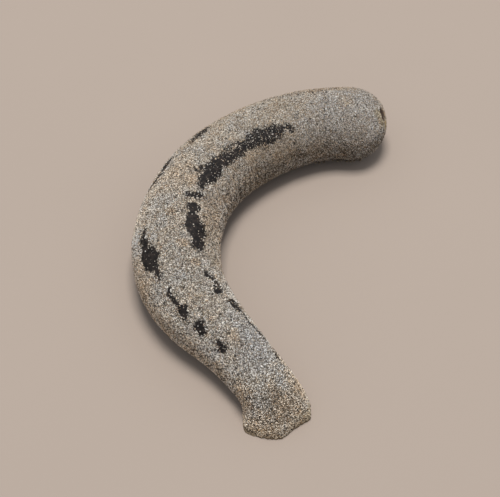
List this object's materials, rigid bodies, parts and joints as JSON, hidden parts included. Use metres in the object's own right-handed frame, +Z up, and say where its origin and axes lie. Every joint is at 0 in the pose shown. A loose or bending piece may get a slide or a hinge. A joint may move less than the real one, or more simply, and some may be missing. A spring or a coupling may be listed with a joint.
{
  "type": "sea cucumber",
  "caption": "Life-size sea cucumber lying in a bend on the floor, sand-coated back with bare dark patches, tube feet under the sole and its mouth pressed down inside a flared lip.",
  "frame": {"origin": "on the floor plane, under the middle of the model's bounding box", "axes": "+Z up from the floor, the shortest extent; +Y the longest extent, with the tail end at +Y and the head at -Y; +X towards the open side of the bend"},
  "size_m": [0.1083, 0.17, 0.0322],
  "materials": {
    "sandy_skin": "matte black skin under a coat of mixed pale and grey sand grains, with rows of bare black patches along the back",
    "mouth_flesh": "damp, soft black flesh of the oral disc and the shield-shaped tentacles",
    "sand_grains": "dry-looking coarse sand of quartz, shell and dark grains",
    "tube_feet": "soft dark stalks with paler flat suckers"
  },
  "bodies": {
    "root": {"tail": "sandy_skin", "body_rear": "sandy_skin", "body_mid_rear": "sandy_skin", "body_mid": "sandy_skin", "body_mid_front": "sandy_skin", "body_front": "sandy_skin", "head": "sandy_skin", "mouth": "mouth_flesh"}
  },
  "joints": []
}
